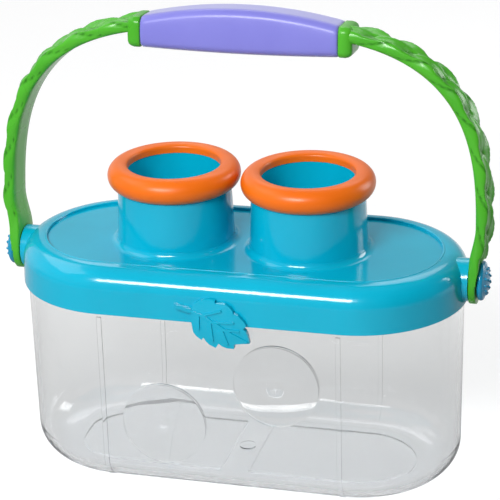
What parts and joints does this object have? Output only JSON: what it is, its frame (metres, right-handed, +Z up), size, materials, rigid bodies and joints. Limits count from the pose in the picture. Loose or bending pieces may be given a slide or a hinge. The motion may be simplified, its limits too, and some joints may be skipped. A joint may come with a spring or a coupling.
{
  "type": "bug catcher jar",
  "caption": "Clear racetrack-shaped bug jar with moulded wall magnifiers, a lift-off lid with ringed eyepieces and a leaf tab, and a swinging vine handle with a soft grip.",
  "frame": {"origin": "middle of the jar's foot, on the table and on the line midway between the round ends", "axes": "+X along the jar to the right as seen from the front, -Y towards the front with the leaf tab, +Z up"},
  "size_m": [0.2088, 0.0928, 0.1963],
  "materials": {
    "clear_tub": "clear moulded plastic, glossy",
    "lid_blue": "glossy moulded plastic",
    "eyepiece_clear": "clear polished plastic",
    "ring_orange": "soft satin rubber",
    "cap_blue": "glossy moulded plastic",
    "handle_green": "glossy moulded plastic with vine relief",
    "grip_lavender": "soft satin plastic"
  },
  "bodies": {
    "jar": {"tub": "clear_tub"},
    "lid": {"lid": "lid_blue", "eyepiece_lens_left": "eyepiece_clear", "eyepiece_lens_right": "eyepiece_clear", "rim_ring_left": "ring_orange", "rim_ring_right": "ring_orange", "pivot_cap_left": "cap_blue", "pivot_cap_right": "cap_blue"},
    "handle": {"handle_bail": "handle_green", "handle_grip": "grip_lavender"}
  },
  "joints": [
    {"name": "lid_lift", "type": "slide", "parent": "jar", "child": "lid", "axis": [0, 0, 1], "range_m": [0, 0.04]},
    {"name": "handle_swing", "type": "hinge", "parent": "lid", "child": "handle", "pos_m": [0, 0, 0.0883], "axis": [1, 0, 0], "range_deg": [-129.5, 140.5]}
  ]
}
